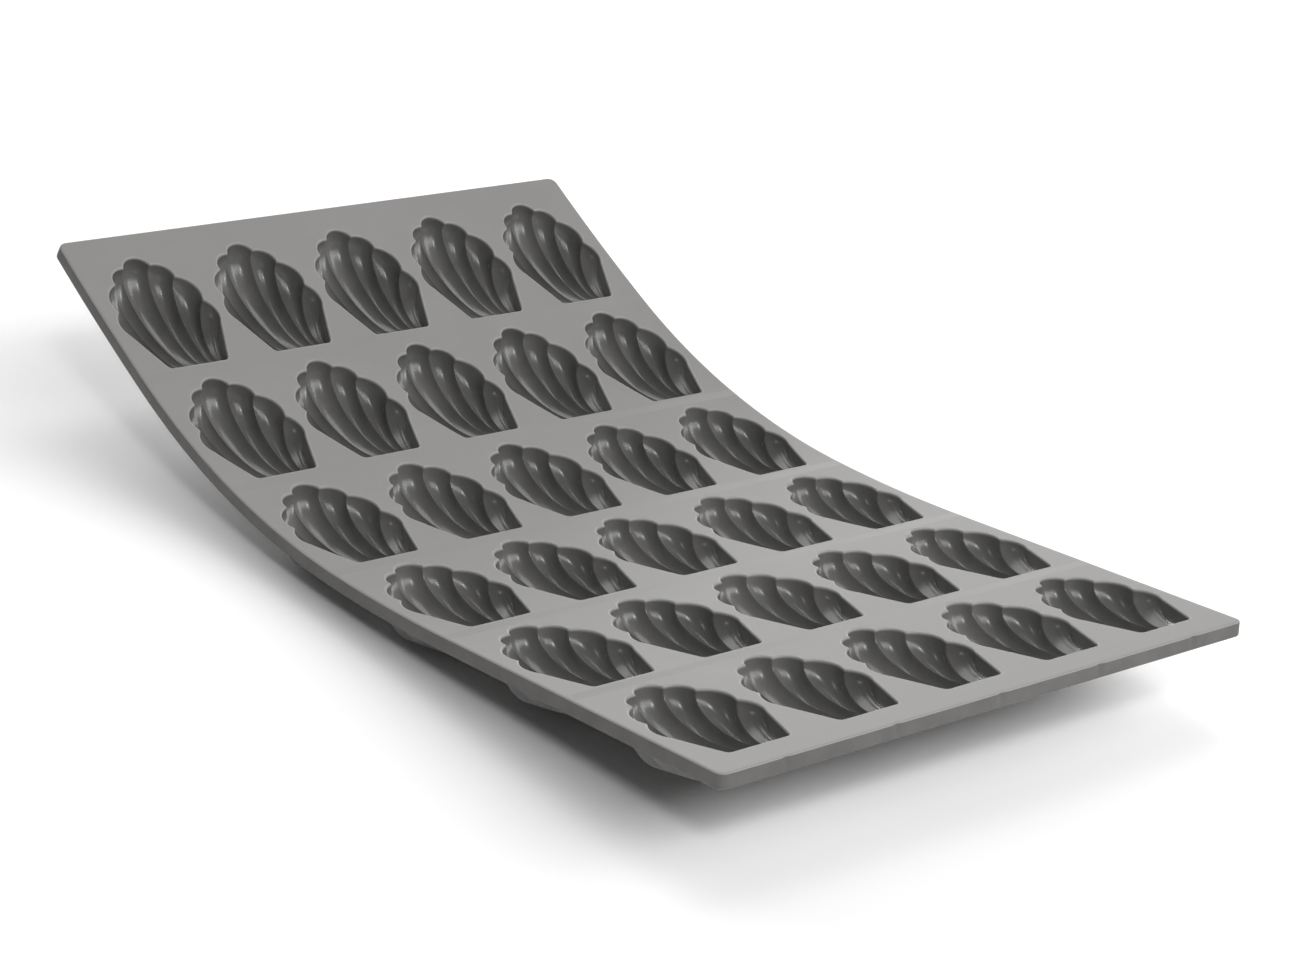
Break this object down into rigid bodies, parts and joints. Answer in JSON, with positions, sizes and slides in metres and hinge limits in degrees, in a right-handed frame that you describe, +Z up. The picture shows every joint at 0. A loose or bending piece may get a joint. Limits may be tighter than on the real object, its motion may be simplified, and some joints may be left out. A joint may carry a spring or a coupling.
{
  "type": "madeleine mould",
  "caption": "Flexible silicone sheet mould with rows of fluted shell-shaped cups for baking small cakes, shown with one end bent up.",
  "frame": {"origin": "on the table, under the centre of the mould's bounding box", "axes": "+Y along the sheet towards its raised end, +X across the rows, +Z up"},
  "size_m": [0.176, 0.2938, 0.0527],
  "materials": {
    "sheet": "matte silicone, light grey",
    "cup": "satin silicone, dark grey"
  },
  "bodies": {
    "row_1": {"row_1_panel": "sheet", "cup_1_1": "cup", "cup_1_2": "cup", "cup_1_3": "cup", "cup_1_4": "cup", "cup_1_5": "cup", "flex_web_1_2": "sheet"},
    "row_2": {"row_2_panel": "sheet", "cup_2_1": "cup", "cup_2_2": "cup", "cup_2_3": "cup", "cup_2_4": "cup", "cup_2_5": "cup", "flex_web_2_3": "sheet"},
    "row_3": {"row_3_panel": "sheet", "cup_3_1": "cup", "cup_3_2": "cup", "cup_3_3": "cup", "cup_3_4": "cup", "cup_3_5": "cup"},
    "row_4": {"row_4_panel": "sheet", "cup_4_1": "cup", "cup_4_2": "cup", "cup_4_3": "cup", "cup_4_4": "cup", "cup_4_5": "cup", "flex_web_3_4": "sheet"},
    "row_5": {"row_5_panel": "sheet", "cup_5_1": "cup", "cup_5_2": "cup", "cup_5_3": "cup", "cup_5_4": "cup", "cup_5_5": "cup", "flex_web_4_5": "sheet"},
    "row_6": {"row_6_panel": "sheet", "cup_6_1": "cup", "cup_6_2": "cup", "cup_6_3": "cup", "cup_6_4": "cup", "cup_6_5": "cup", "flex_web_5_6": "sheet"}
  },
  "joints": [
    {"name": "flex_3_4", "type": "hinge", "parent": "row_3", "child": "row_4", "pos_m": [0, 0.00266, 0.00986], "axis": [1, 0, 0], "range_deg": [-53.5, 46], "stiffness_Nm_per_rad": 1, "deforming": ["flex_web_3_4"]},
    {"name": "flex_4_5", "type": "hinge", "parent": "row_4", "child": "row_5", "pos_m": [0, 0.05083, 0.0137], "axis": [1, 0, 0], "range_deg": [-57, 42.5], "stiffness_Nm_per_rad": 1, "deforming": ["flex_web_4_5"]},
    {"name": "flex_5_6", "type": "hinge", "parent": "row_5", "child": "row_6", "pos_m": [0, 0.09709, 0.02774], "axis": [1, 0, 0], "range_deg": [-53.5, 46], "stiffness_Nm_per_rad": 1, "deforming": ["flex_web_5_6"]},
    {"name": "flex_2_3", "type": "hinge", "parent": "row_3", "child": "row_2", "pos_m": [0, -0.04539, 0.01322], "axis": [-1, 0, 0], "range_deg": [-47.5, 52], "stiffness_Nm_per_rad": 1, "deforming": ["flex_web_2_3"]},
    {"name": "flex_1_2", "type": "hinge", "parent": "row_2", "child": "row_1", "pos_m": [0, -0.09306, 0.01881], "axis": [-1, 0, 0], "range_deg": [-45, 55], "stiffness_Nm_per_rad": 1, "deforming": ["flex_web_1_2"]}
  ]
}
